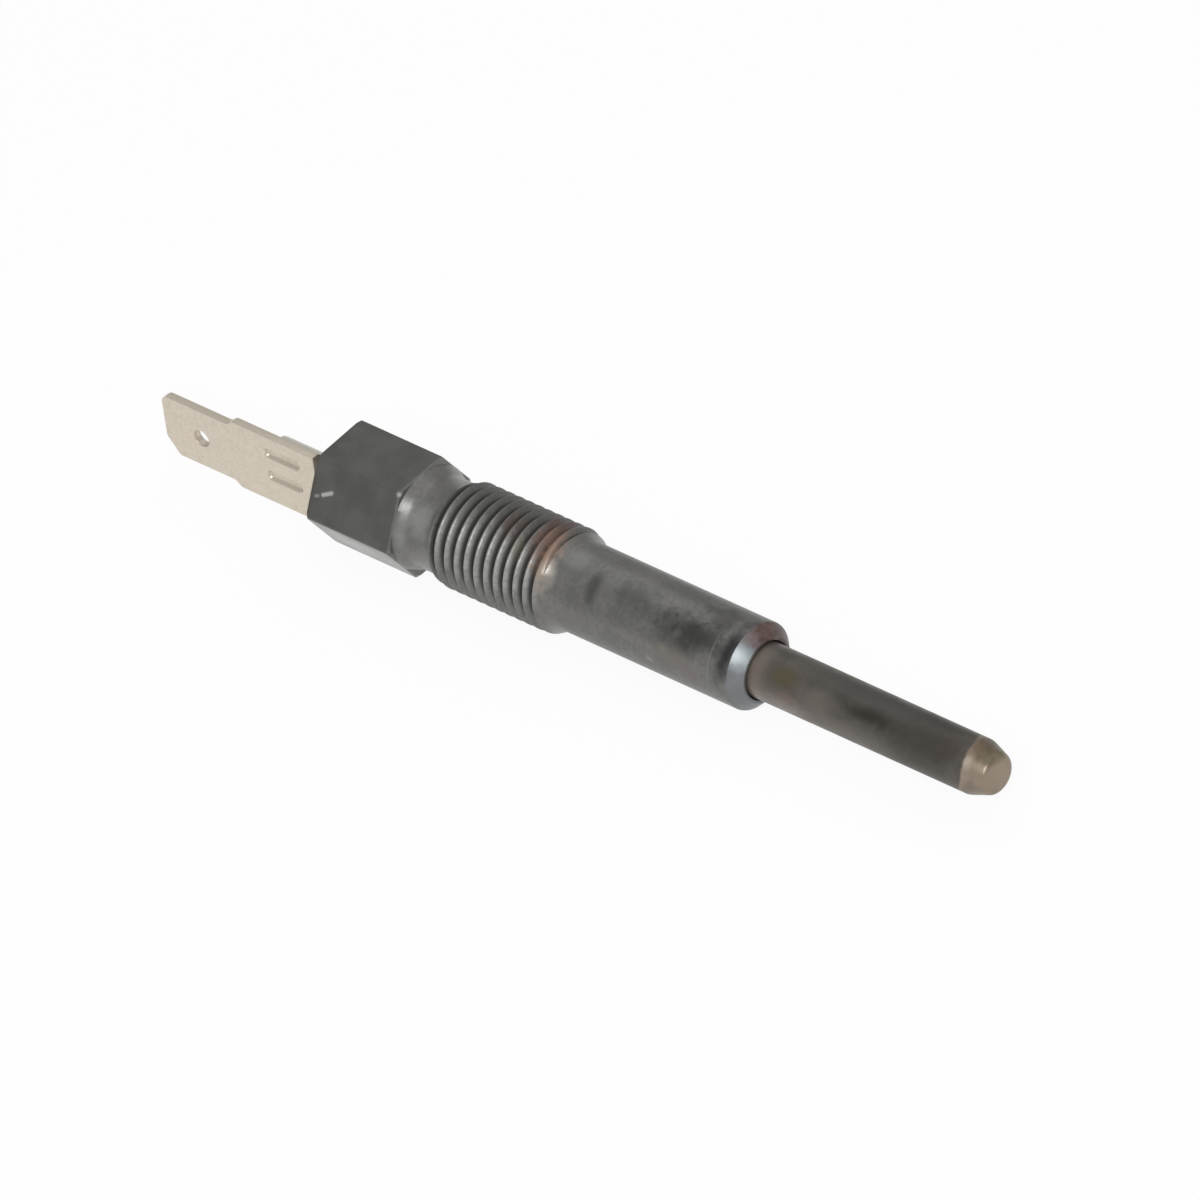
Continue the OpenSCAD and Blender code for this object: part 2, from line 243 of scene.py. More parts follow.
# %% [markdown]
# ## The shell: screw thread
#
# A thread is a V-shaped groove wound round the blank. One section of the groove is drawn as a closed line, and the
# Screw modifier winds it along the axis, a pitch further with each turn. The open ends are filled, so that the
# groove is a closed tool that can be cut away from the shell. Near its mouth the section widens in two steps, which
# leaves the rounded crests of a rolled thread. The crests stand as close as the picture shows them, 1.16 mm apart,
# a little closer than the 1.25 mm of the nearest standard thread.
#
# A rolled thread doesn't stop dead: over its first and last half turn the groove rises out of the metal. Scaling
# the ends of the tool away from the axis does that.

# %% Groove tool
PITCH = 1.16
TURNS = 12.28
GROOVE_START = -35.84
DEPTH_SHARE, ROOT_SHARE, FLANK_DEG = 0.613, 0.0625, 30
CREST_ROUND, ROOT_ROUND = 0.092, 0.02
ROOT, FLANK_TOP = THREAD - DEPTH_SHARE * PITCH, THREAD - CREST_ROUND
ROOT_HALF = ROOT_SHARE * PITCH
FLANK_HALF = ROOT_HALF + (FLANK_TOP - ROOT) * math.tan(math.radians(FLANK_DEG))
CREST_STEPS = [(0.06, FLANK_TOP + 0.056), (0.125, THREAD + 0.004), (0.127, THREAD + 0.055)]

half_section = [(ROOT_HALF, ROOT), (FLANK_HALF, FLANK_TOP), *[(FLANK_HALF + x, r) for x, r in CREST_STEPS]]
section = [(-x, r) for x, r in reversed(half_section)] + [(0, ROOT - ROOT_ROUND)] + half_section
section.append(section[0])
groove = draw_line("thread_groove", [(GROOVE_START + x, 0, r) for x, r in section])
merge_doubles()
winding_steps = int(SEGMENTS * TURNS)
apply_modifier(
    groove, "SCREW", axis="X", angle=2 * math.pi * TURNS, screw_offset=PITCH * TURNS,
    steps=winding_steps, render_steps=winding_steps)
print("groove:", len(groove.data.vertices), "vertices,",
      "x from", round(min(v.co.x for v in groove.data.vertices), 2),
      "to", round(max(v.co.x for v in groove.data.vertices), 2))

# %% Fade the ends of the groove and cut it
FADE_TURNS, FADE_LIFT = 0.6, 0.2

corners = len(section) - 1
rings = len(groove.data.vertices) // corners
for index, vertex in enumerate(groove.data.vertices):
    ring = index // corners
    turns_from_end = min(ring, rings - 1 - ring) / SEGMENTS
    lift = 1 + FADE_LIFT * max(0.0, 1 - turns_from_end / FADE_TURNS) ** 2
    vertex.co.y *= lift
    vertex.co.z *= lift
bpy.ops.object.mode_set(mode="EDIT")
bpy.ops.mesh.select_all(action="DESELECT")
bpy.ops.mesh.select_non_manifold()
bpy.ops.mesh.edge_face_add()
close_skin()
bpy.ops.object.mode_set(mode="OBJECT")
combine(shell, groove, "DIFFERENCE")
bpy.ops.object.mode_set(mode="EDIT")
close_skin()
bpy.ops.object.mode_set(mode="OBJECT")
finish_piece(shell, "plug_body", 32)

# %% [markdown]
# ## The heating tube
#
# The tube is drawn sheath with a closed nose: a short taper and a rounded edge round a nearly flat end. It is one
# closed line, down the outside and back up the inside. Solidify could give it an even wall, but a real nose is
# thicker than the sides.

# %% Sheath
TUBE, TUBE_BORE = 2.65, 2.05
TUBE_REAR, NOSE_START, NOSE_TIP = -27.0, 26.4, 28.7
NOSE, NOSE_BORE, NOSE_INNER = 1.875, 1.285, 27.7
NOSE_ROUND, ROUND_STEPS = 0.6, 10
EASE_REAR, EASE_FRONT, EASE_DROP = 0.1, 0.12, 0.045
REAR_BEVEL = 0.1

taper_deg = math.degrees(math.atan2(TUBE - NOSE, NOSE_TIP - NOSE_START))
round_centre = (NOSE_TIP - NOSE_ROUND, NOSE - NOSE_ROUND * math.tan(math.radians(45 - taper_deg / 2)))

sheath = turn("heating_tube", [
    (NOSE_TIP, 0), *arc(round_centre, NOSE_ROUND, 0, 90 - taper_deg, ROUND_STEPS),
    (NOSE_START + EASE_FRONT, TUBE - EASE_DROP), (NOSE_START - EASE_REAR, TUBE),
    (TUBE_REAR + REAR_BEVEL, TUBE), (TUBE_REAR, TUBE - REAR_BEVEL),
    (TUBE_REAR, TUBE_BORE), (NOSE_START, TUBE_BORE), (NOSE_INNER, NOSE_BORE), (NOSE_INNER, 0)])
finish_piece(sheath, "glow_tube", 30)

# %% [markdown]
# ## The blade
#
# The blade is stamped from sheet: a tab of the usual 6.3 mm with a bevelled end and a small locking hole, and a
# wider root that is welded to the pin. Two short ribs are pressed into the root on both sides of the pin, which
# leaves grooves on the open face. It is drawn flat, with its corners rounded while it is still one face, then
# extruded to its thickness and leaned against the pin.

# %% Blade outline
BLADE = 0.8
BLADE_SEAT = 1.3
BLADE_DROP = -0.6
BLADE_LEAN = 3
TAB_HALF, ROOT_WIDE_HALF = 3.15, 3.7
TAB_REAR, SHOULDER_REAR, SHOULDER_FRONT, BLADE_FRONT = -68.65, -60.8, -60.1, -49.6
TOP_BEVEL, LOW_BEVEL = (0.6, 0.5), (1.35, 1.7)
CORNER_ROUND = 0.22

outline = [
    (TAB_REAR, TAB_HALF - TOP_BEVEL[1]), (TAB_REAR + TOP_BEVEL[0], TAB_HALF),
    (SHOULDER_REAR, TAB_HALF), (SHOULDER_FRONT, ROOT_WIDE_HALF),
    (BLADE_FRONT, ROOT_WIDE_HALF), (BLADE_FRONT, -ROOT_WIDE_HALF),
    (SHOULDER_FRONT, -ROOT_WIDE_HALF), (SHOULDER_REAR, -TAB_HALF),
    (TAB_REAR + LOW_BEVEL[0], -TAB_HALF), (TAB_REAR, -TAB_HALF + LOW_BEVEL[1])]
blade = draw_line("push_on_blade", [(x, y + BLADE_DROP, BLADE_SEAT) for x, y in outline + outline[:1]])
merge_doubles()
bpy.ops.mesh.edge_face_add()
bpy.ops.mesh.bevel(offset=CORNER_ROUND, segments=4, affect="VERTICES")
bpy.ops.mesh.select_all(action="SELECT")
bpy.ops.mesh.extrude_region_move(TRANSFORM_OT_translate={"value": (0, 0, BLADE)})
close_skin()
bpy.ops.object.mode_set(mode="OBJECT")
print("blade outline:", len(blade.data.vertices), "vertices")

# %% [markdown]
# ### Hole and ribs
#
# The hole is cut with a cylinder. A rib is a bar with round ends: the tool for its groove is wider at the open face
# than at its floor, as a punch is, and dips a little to the front. The rib itself stands proud on the pin's side.

# %% Hole and stamped ribs
HOLE_X, HOLE_RADIUS = -64.3, 0.85
RIB_X, RIB_Y = -54.5, 1.25
RIB_LENGTH, RIB_HALF = 3.8, 0.35
GROOVE_DEPTH, RIB_HEIGHT = 0.34, 0.28
GROOVE_DIP = -1.5
PUNCH_FLARE = PUNCH_RISE = 0.4
RIB_SINK = 0.1
HOLE_TOOL = 4
EDGE_SOFTENING, SOFTENED_DEG = 0.07, 35


def bar(name, y, low, high, flare, dip_deg=0):
    """A bar with round ends between two heights, wider by flare at its upper end, and dipping to the front."""
    straight = RIB_LENGTH / 2 - RIB_HALF
    rear_end = arc((RIB_X - straight, y), RIB_HALF, 90, 270, 12)
    front_end = arc((RIB_X + straight, y), RIB_HALF, -90, 90, 12)
    piece = draw_line(name, [(*place, low) for place in rear_end + front_end + rear_end[:1]])
    merge_doubles()
    bpy.ops.mesh.edge_face_add()
    bpy.ops.mesh.extrude_region_move(TRANSFORM_OT_translate={"value": (0, 0, high - low)})
    bpy.ops.transform.resize(
        value=(1 + 2 * flare / RIB_LENGTH, 1 + flare / RIB_HALF, 1), center_override=(RIB_X, y, high))
    bpy.ops.mesh.select_all(action="SELECT")
    bpy.ops.transform.rotate(value=math.radians(dip_deg), orient_axis="Y", center_override=(RIB_X, y, low))
    close_skin()
    bpy.ops.object.mode_set(mode="OBJECT")
    return piece


deselect_all()
bpy.ops.mesh.primitive_cylinder_add(
    vertices=64, radius=HOLE_RADIUS, depth=HOLE_TOOL, location=(HOLE_X, BLADE_DROP, BLADE_SEAT + BLADE / 2))
combine(blade, bpy.context.object, "DIFFERENCE")
blade_face = BLADE_SEAT + BLADE
for side in (-1, 1):
    tool = bar(
        "rib_groove", side * RIB_Y, blade_face - GROOVE_DEPTH, blade_face + PUNCH_RISE, PUNCH_FLARE, GROOVE_DIP)
    low_end = min(tool.data.vertices, key=lambda vertex: vertex.co.z).co
    print(f"rib groove: lowest {blade_face - low_end.z:.2f} mm under the face, at x = {low_end.x:.2f}")
    combine(blade, tool, "DIFFERENCE")
    combine(blade, bar("rib", side * RIB_Y, BLADE_SEAT - RIB_HEIGHT, BLADE_SEAT + RIB_SINK, 0.0), "UNION")

apply_modifier(
    blade, "BEVEL", width=EDGE_SOFTENING, segments=3, limit_method="ANGLE", angle_limit=math.radians(SOFTENED_DEG))
blade.rotation_euler = (math.radians(90 - BLADE_LEAN), 0, 0)
bpy.ops.object.transform_apply(location=True, rotation=True, scale=True)
finish_piece(blade, "blade_terminal", 40)

# %% [markdown]
# ## Node groups for wear
#
# All finishes here are procedural, and they share a few effects. Each effect is a node group with named inputs, so
# that it is built once and used with other values in each material. The groups read Object coordinates, which don't
# change when the plug is moved, and give out only masks between 0 and 1.
#
# - Mottling is soft uneven tone, from a noise whose contrast can be set.
# - Turning marks are fine rings round the axis, from a noise that is stretched round it.
# - A band is a stretch of the axis, with soft ends.
# - A patch is a ragged spot round a place on the surface, solid in its core and fading outwards.
# - A scratch is a thin line between two places.

# %% Helpers for nodes


def add_node(tree, kind, inputs=None, **settings):
    """Adds a node, sets its properties, and fills its inputs with values or links."""
    node = tree.nodes.new(kind)
    for name, value in settings.items():
        setattr(node, name, value)
    for name, value in (inputs or {}).items():
        if isinstance(value, bpy.types.NodeSocket):
            tree.links.new(value, node.inputs[name])
        else:
            node.inputs[name].default_value = value
    return node


def calculate(tree, operation, a, b):
    """The result of a Math node."""
    return add_node(tree, "ShaderNodeMath", {0: a, 1: b}, operation=operation).outputs[0]


def between(tree, operation, a, b):
    """A Vector Math node on two vectors."""
    return add_node(tree, "ShaderNodeVectorMath", {0: a, 1: b}, operation=operation).outputs


def remap(tree, value, low, high, to_low=0.0, to_high=1.0):
    """The result of a smooth Map Range node."""
    return add_node(
        tree, "ShaderNodeMapRange",
        {"Value": value, "From Min": low, "From Max": high, "To Min": to_low, "To Max": to_high},
        interpolation_type="SMOOTHSTEP").outputs["Result"]


def new_group(name, **inputs):
    """A shader node group that reads a Vector and the named values, and gives one Mask."""
    tree = bpy.data.node_groups.new(name, "ShaderNodeTree")
    for label, value in {"Vector": (0, 0, 0), **inputs}.items():
        kind = "NodeSocketVector" if isinstance(value, tuple) else "NodeSocketFloat"
        tree.interface.new_socket(label, in_out="INPUT", socket_type=kind).default_value = value
    tree.interface.new_socket("Mask", in_out="OUTPUT", socket_type="NodeSocketFloat")
    return tree, tree.nodes.new("NodeGroupInput").outputs, tree.nodes.new("NodeGroupOutput").inputs


# %% Mottling and turning marks
mottling, given, result = new_group("Mottling", Scale=300.0, Low=0.35, High=0.65)
noise = add_node(mottling, "ShaderNodeTexNoise", {"Vector": given["Vector"], "Scale": given["Scale"], "Detail": 5.0})
mottling.links.new(remap(mottling, noise.outputs["Fac"], given["Low"], given["High"]), result["Mask"])

turning, given, result = new_group("Turning marks", Fineness=4000.0)
stretched = between(turning, "MULTIPLY", given["Vector"], (1.0, 0.045, 0.045))
noise = add_node(
    turning, "ShaderNodeTexNoise", {"Vector": stretched["Vector"], "Scale": given["Fineness"], "Detail": 3.0})
turning.links.new(remap(turning, noise.outputs["Fac"], 0.3, 0.7), result["Mask"])

# %% Band along the axis
band, given, result = new_group("Band", Start=0.0, End=0.0, Softness=0.0003)
along = add_node(band, "ShaderNodeSeparateXYZ", {0: given["Vector"]}).outputs["X"]
after_start = remap(
    band, along, calculate(band, "SUBTRACT", given["Start"], given["Softness"]),
    calculate(band, "ADD", given["Start"], given["Softness"]))
before_end = remap(
    band, along, calculate(band, "SUBTRACT", given["End"], given["Softness"]),
    calculate(band, "ADD", given["End"], given["Softness"]), 1.0, 0.0)
band.links.new(calculate(band, "MULTIPLY", after_start, before_end), result["Mask"])

# %% Patch on the surface
patch, given, result = new_group(
    "Patch", Centre=(0.0, 0.0, 0.0), Reach=(1.0, 1.0, 1.0), Ragged=0.5, Grain=900.0, Core=0.2)
offset = between(patch, "SUBTRACT", given["Vector"], given["Centre"])
scaled = between(patch, "DIVIDE", offset["Vector"], given["Reach"])
distance = add_node(patch, "ShaderNodeVectorMath", {0: scaled["Vector"]}, operation="LENGTH").outputs["Value"]
noise = add_node(patch, "ShaderNodeTexNoise", {"Vector": given["Vector"], "Scale": given["Grain"], "Detail": 5.0})
ragged = calculate(patch, "MULTIPLY", calculate(patch, "SUBTRACT", noise.outputs["Fac"], 0.5), given["Ragged"])
edge = calculate(patch, "ADD", distance, calculate(patch, "MULTIPLY", ragged, 2.0))
patch.links.new(remap(patch, edge, given["Core"], 1.05, 1.0, 0.0), result["Mask"])

# %% Scratch between two places
scratch, given, result = new_group("Scratch", From=(0.0, 0.0, 0.0), To=(1.0, 0.0, 0.0), Width=0.0001)
offset = between(scratch, "SUBTRACT", given["Vector"], given["From"])["Vector"]
stroke = between(scratch, "SUBTRACT", given["To"], given["From"])["Vector"]
share = calculate(
    scratch, "DIVIDE", between(scratch, "DOT_PRODUCT", offset, stroke)["Value"],
    between(scratch, "DOT_PRODUCT", stroke, stroke)["Value"])
share = add_node(scratch, "ShaderNodeClamp", {"Value": share}).outputs["Result"]
nearest = add_node(scratch, "ShaderNodeVectorMath", {0: stroke, "Scale": share}, operation="SCALE").outputs["Vector"]
distance = between(scratch, "DISTANCE", offset, nearest)["Value"]
scratch.links.new(remap(scratch, calculate(scratch, "DIVIDE", distance, given["Width"]), 0.3, 1.0, 1.0, 0.0),
                  result["Mask"])
print("node groups:", ", ".join(group.name for group in (mottling, turning, band, patch, scratch)))

# %% [markdown]
# ## Building a finish
#
# Each finish is a Principled BSDF whose colour is laid on in coats, as a painter would: a first tone, then one coat
# after another through a mask. The helpers below only save typing. A shader's own plain values, such as its
# metallic share, are set straight on its socket.
#
# Spots of wear, and spots of painted light and shade, are placed by how far along the axis they lie and how far
# round it: 0 degrees is the top of the plug, and the angle grows towards the side that faces the camera.

# %% Helpers for materials


class Finish:
    """A material with a Principled BSDF, Object coordinates, and coats of colour."""

    def __init__(self, name, metallic):
        self.material = bpy.data.materials.new(name)
        self.material.use_nodes = True
        self.tree = self.material.node_tree
        self.shader = self.tree.nodes["Principled BSDF"]
        self.shader.inputs["Metallic"].default_value = metallic
        self.place = add_node(self.tree, "ShaderNodeTexCoord").outputs["Object"]

    def mask(self, group, **inputs):
        """One of the wear groups, read at this surface."""
        node = add_node(self.tree, "ShaderNodeGroup", node_tree=group)
        self.tree.links.new(self.place, node.inputs["Vector"])
        for name, value in inputs.items():
            node.inputs[name].default_value = value
        return node.outputs["Mask"]

    def coat(self, under, over, mask):
        """Lays one colour over another through a mask."""
        node = add_node(self.tree, "ShaderNodeMix", data_type="RGBA")
        sockets = {s.identifier: s for s in node.inputs}
        for identifier, value in (("A_Color", under), ("B_Color", over), ("Factor_Float", mask)):
            if isinstance(value, bpy.types.NodeSocket):
                self.tree.links.new(value, sockets[identifier])
            else:
                sockets[identifier].default_value = (*value, 1.0)
        return next(s for s in node.outputs if s.identifier == "Result_Color")

    def times(self, mask, *shares):
        """A mask made weaker by numbers, or cut to where other masks are."""
        for share in shares:
            mask = calculate(self.tree, "MULTIPLY", mask, share)
        return mask

    def stretch(self, start, end, softness):
        """A band along the axis, given in millimetres."""
        return self.mask(band, Start=start * MM, End=end * MM, Softness=softness * MM)

    def spot(self, centre, size, **inputs):
        """A patch round one place."""
        return self.mask(patch, Centre=centre, Reach=size, **inputs)

    def spots(self, tone, spots, **inputs):
        """Lays patches over a tone, each with its centre, reach, colour and strength."""
        for centre, size, colour, strength in spots:
            tone = self.coat(tone, colour, self.times(self.spot(centre, size, **inputs), strength))
        return tone

    def finish(self, colour, roughness, height, bump, depth=0.02):
        """Links the colour, the roughness and a bump, whose depth is in millimetres, to the shader."""
        self.tree.links.new(colour, self.shader.inputs["Base Color"])
        self.tree.links.new(roughness, self.shader.inputs["Roughness"])
        node = add_node(self.tree, "ShaderNodeBump", {"Height": height, "Strength": bump, "Distance": depth * MM})
        self.tree.links.new(node.outputs["Normal"], self.shader.inputs["Normal"])
        return self.material


def around(x, radius, deg):
    """A place on a turned surface, in metres: along the axis, and round from the top to the near side."""
    angle = math.radians(deg)
    return (x * MM, -radius * math.sin(angle) * MM, radius * math.cos(angle) * MM)


def reach(along, round_axis):
    """The half lengths of a patch, along the axis and round it, in metres."""
    return (along * MM, round_axis * MM, round_axis * MM)


def dress(piece, material):
    """Gives a piece or a CAD node one material."""
    piece.data.materials.clear()
    piece.data.materials.append(material)


# %% [markdown]
# ## Finish of the shell
#
# The shell is blackened steel. The hexagon is the darkest and the most glossy, the turned neck and shank are greyer
# and stained, and the crests of the thread are rubbed pale while its grooves keep their dark oxide. Rust has started
# on the last turns and on the upper side of the cone seat, whose near side is still bare blue-grey metal. Light and
# shade are painted in too: painted highlights on the crests, the flare of the neck and the run-out where they face
# the camera, painted shade on the upper side of the thread and along the rear edge of the hexagon, and a painted
# reflection of the table on the lower faces of the hexagon.

# %% Shell: base tones
shell_finish = Finish("blackened_steel", metallic=0.5)
tree = shell_finish.tree
cloud = shell_finish.mask(mottling, Scale=420.0, Low=0.3, High=0.7)
speck = shell_finish.mask(mottling, Scale=2600.0, Low=0.35, High=0.75)
rings_fine = shell_finish.mask(turning, Fineness=5200.0)
turned_zone = shell_finish.stretch(-39.08, 10.0, 0.06)

hex_tone = shell_finish.coat((0.098, 0.098, 0.091), (0.122, 0.121, 0.112), cloud)
turned_tone = shell_finish.coat((0.135, 0.133, 0.127), (0.172, 0.169, 0.160), cloud)
turned_tone = shell_finish.coat(turned_tone, (0.215, 0.213, 0.206), shell_finish.times(rings_fine, 0.22))
turned_tone = shell_finish.coat(turned_tone, (0.090, 0.089, 0.084), shell_finish.times(speck, 0.38))
tone = shell_finish.coat(hex_tone, turned_tone, turned_zone)
print("base tones:", len(tree.nodes), "nodes")

# %% Shell: thread crests and grooves, with painted highlight and shade
sides = between(tree, "MULTIPLY", shell_finish.place, (0.0, 1.0, 1.0))["Vector"]
radius = add_node(tree, "ShaderNodeVectorMath", {0: sides}, operation="LENGTH").outputs["Value"]
thread_zone = shell_finish.stretch(-35.2, -21.9, 0.3)
# The pale rubbed crests are kept to the side that faces the camera, where they are partly a painted highlight; the
# upper side of the thread gets painted shade.
near_side_highlight = shell_finish.spot(around(-28.3, THREAD, 52), reach(12.0, 4.0), Ragged=0.25, Core=0.3)
upper_side_shade = shell_finish.spot(around(-28.3, THREAD, -30), reach(14.0, 4.0), Ragged=0.25, Core=0.3)
rubbed_and_highlight = shell_finish.times(thread_zone, near_side_highlight, remap(tree, radius, 4.55 * MM, 4.84 * MM))
deep = shell_finish.times(thread_zone, remap(tree, radius, 4.70 * MM, 4.36 * MM))
THREAD_COATS = [
    ((0.185, 0.182, 0.174), shell_finish.times(thread_zone, 0.7)),
    # painted shade: the thread darker on its upper side
    ((0.074, 0.073, 0.070), shell_finish.times(thread_zone, upper_side_shade, 0.55)),
    # crests rubbed pale, with a painted highlight on the side that faces the camera
    ((0.390, 0.387, 0.372), rubbed_and_highlight),
    ((0.060, 0.059, 0.055), deep),
    ((0.085, 0.084, 0.079), shell_finish.times(speck, thread_zone, 0.4)),
]
for colour, mask in THREAD_COATS:
    tone = shell_finish.coat(tone, colour, mask)
print("coats on the thread:", len(THREAD_COATS))

# %% Shell: stains on the shank
STAINS = [
    (around(-16.8, SHANK, 36), reach(1.1, 2.0), (0.058, 0.058, 0.055), 0.8),
    (around(-12.2, SHANK, 20), reach(3.2, 2.0), (0.078, 0.077, 0.074), 0.7),
    (around(-19.6, SHANK, 10), reach(1.8, 1.8), (0.190, 0.192, 0.188), 0.6),
    (around(-7.0, SHANK, 30), reach(3.6, 2.2), (0.085, 0.083, 0.078), 0.85),
    (around(-4.0, SHANK, 38), reach(3.6, 2.2), (0.037, 0.036, 0.034), 0.85),
    (around(-2.6, SHANK, 6), reach(3.4, 2.6), (0.064, 0.062, 0.060), 0.8),
    (around(-0.5, SHANK, 34), reach(1.5, 3.8), (0.026, 0.024, 0.026), 0.95),
    (around(-6.4, SHANK, 74), reach(3.2, 1.3), (0.165, 0.148, 0.132), 0.7),
    (around(-4.2, SHANK, 86), reach(1.6, 1.0), (0.165, 0.135, 0.130), 0.6),
    (around(-9.2, SHANK, 92), reach(0.7, 0.45), (0.300, 0.275, 0.240), 0.6),
    (around(-7.6, SHANK, 66), reach(0.7, 0.5), (0.220, 0.195, 0.165), 0.5),
]
tone = shell_finish.spots(tone, STAINS, Ragged=0.85, Grain=480.0, Core=0.1)
streaks = shell_finish.mask(mottling, Scale=1500.0, Low=0.48, High=0.66)
smudged = shell_finish.spot(around(-5.5, SHANK, 28), reach(9.0, 3.0), Ragged=0.4, Grain=500.0)
tone = shell_finish.coat(tone, (0.036, 0.036, 0.033), shell_finish.times(streaks, smudged, 0.5))
ring_line = shell_finish.stretch(-2.28, -2.14, 0.1)
ring_near = shell_finish.spot(around(-2.2, SHANK, 55), reach(1.0, 3.4), Core=0.3)
tone = shell_finish.coat(tone, (0.215, 0.212, 0.208), shell_finish.times(ring_line, ring_near, 0.7))
print("stains on the shank:", len(STAINS))

# %% Shell: rust on the last turns, and a painted highlight on the run-out
RUST = [
    (around(-23.5, THREAD, 0), reach(1.9, 3.0), (0.235, 0.148, 0.116), 0.9),
    (around(-22.5, THREAD, 22), reach(1.3, 3.2), (0.305, 0.202, 0.150), 0.9),
    (around(-22.0, THREAD, 44), reach(0.9, 1.8), (0.380, 0.282, 0.210), 0.8),
    (around(-24.0, THREAD, -24), reach(1.9, 2.2), (0.120, 0.078, 0.066), 0.8),
    (around(-27.6, 4.6, 6), reach(2.0, 1.8), (0.120, 0.086, 0.074), 0.65),
    (around(-25.6, 4.6, 30), reach(0.8, 1.2), (0.170, 0.158, 0.105), 0.5),
]
tone = shell_finish.spots(tone, RUST, Ragged=0.8, Grain=1500.0, Core=0.1)
# A painted highlight on the run-out of the thread, on the side that faces the camera.
RUN_OUT_HIGHLIGHT = [(around(-21.5, 4.5, 44), reach(0.9, 2.4), (0.335, 0.312, 0.282), 0.8)]
tone = shell_finish.spots(tone, RUN_OUT_HIGHLIGHT, Ragged=0.5, Grain=1500.0, Core=0.1)
print("spots of rust on the thread:", len(RUST))

# %% Shell: bare metal and rust on the cone seat
seat_zone = shell_finish.stretch(0.02, 10.0, 0.05)
seat_tone = shell_finish.coat((0.165, 0.171, 0.182), (0.200, 0.209, 0.223), cloud)
SEAT_SPOTS = [
    (around(0.5, 3.7, 36), reach(3.0, 1.7), (0.300, 0.336, 0.348), 0.9),
    (around(0.4, 3.7, -22), reach(3.0, 2.7), (0.150, 0.092, 0.080), 0.95),
    (around(0.5, 3.7, 104), reach(3.0, 2.2), (0.172, 0.175, 0.182), 0.7),
    (around(0.7, 3.7, -64), reach(3.0, 2.2), (0.110, 0.068, 0.060), 0.85),
    (around(0.3, 3.7, 8), reach(1.2, 1.0), (0.230, 0.180, 0.178), 0.6),
]
seat_tone = shell_finish.spots(seat_tone, SEAT_SPOTS, Ragged=0.6, Grain=1400.0, Core=0.3)
rusty = shell_finish.spot(around(0.4, 3.7, -28), reach(3.0, 3.4), Ragged=0.4, Grain=1400.0)
seat_tone = shell_finish.coat(seat_tone, (0.062, 0.036, 0.032), shell_finish.times(speck, rusty, 0.7))
tone = shell_finish.coat(tone, seat_tone, seat_zone)
print("spots on the cone seat:", len(SEAT_SPOTS))

# %% Shell: painted shade on the rear edge, painted highlights and reflection, and scratches
# Painted shade: the rear edge of the hexagon, next to the blade, darkened to a dark brown.
rear_edge_shade = shell_finish.stretch(-49.0, -48.45, 0.25)
tone = shell_finish.coat(tone, (0.086, 0.070, 0.048), shell_finish.times(rear_edge_shade, 0.7))
# Painted light: painted highlights on the flare and the near side of the neck, the first three; a painted reflection
# of the table on the lower faces of the hexagon; and a worn spot with a painted highlight on a front corner of the
# hexagon.
PAINTED_HIGHLIGHTS_AND_REFLECTION = [
    (around(-38.3, 4.7, 59), reach(0.9, 3.4), (0.270, 0.270, 0.260), 0.75),
    (around(-37.0, 4.4, 44), reach(1.5, 2.2), (0.340, 0.339, 0.328), 0.7),
    (around(-36.2, 4.4, 44), reach(1.0, 2.2), (0.290, 0.289, 0.280), 0.75),
    (around(-43.8, 5.0, 120), reach(6.5, 2.6), (0.240, 0.240, 0.233), 0.8),
    (around(-39.0, 5.6, 31), reach(0.35, 0.35), (0.600, 0.600, 0.580), 0.8),
]
tone = shell_finish.spots(tone, PAINTED_HIGHLIGHTS_AND_REFLECTION, Ragged=0.22, Grain=1500.0, Core=0.1)
SCRATCHES = [
    ((-0.04725, -0.00446, 0.00228), (-0.04630, -0.00421, 0.00271), 0.00027, 0.9),
    ((-0.04800, -0.00464, 0.00197), (-0.04775, -0.00457, 0.00208), 0.00022, 0.45),
]
for start, end, width, strength in SCRATCHES:
    line = shell_finish.mask(scratch, From=start, To=end, Width=width)
    tone = shell_finish.coat(tone, (0.50, 0.50, 0.48), shell_finish.times(line, strength))
print("pale spots:", len(PAINTED_HIGHLIGHTS_AND_REFLECTION), "- scratches:", len(SCRATCHES))

# %% Shell: roughness and fine relief
HEX_ROUGHNESS, TURNED_ROUGHNESS = 0.24, 0.30

roughness = remap(tree, turned_zone, 0.0, 1.0, HEX_ROUGHNESS, TURNED_ROUGHNESS)
roughness = calculate(tree, "ADD", roughness, shell_finish.times(cloud, 0.06))
rougher = calculate(tree, "MAXIMUM", seat_zone, thread_zone)
roughness = calculate(tree, "ADD", roughness, shell_finish.times(rougher, 0.12))
height = calculate(tree, "ADD", shell_finish.times(rings_fine, 0.35), shell_finish.times(speck, 0.5))
dress(shell, shell_finish.finish(tone, roughness, height, bump=0.18))
print("shell finish:", len(tree.nodes), "nodes")

# %% [markdown]
# ## Finish of the heating tube
#
# The tube has been hot: its alloy is brown-grey, with olive and reddish stains and darker patches. The nose is
# rubbed to bare metal, and the border of the bare part isn't a clean ring. A painted reflection of the table
# lightens the lower side of the tube, and painted highlights lie on the nose where it faces the camera.

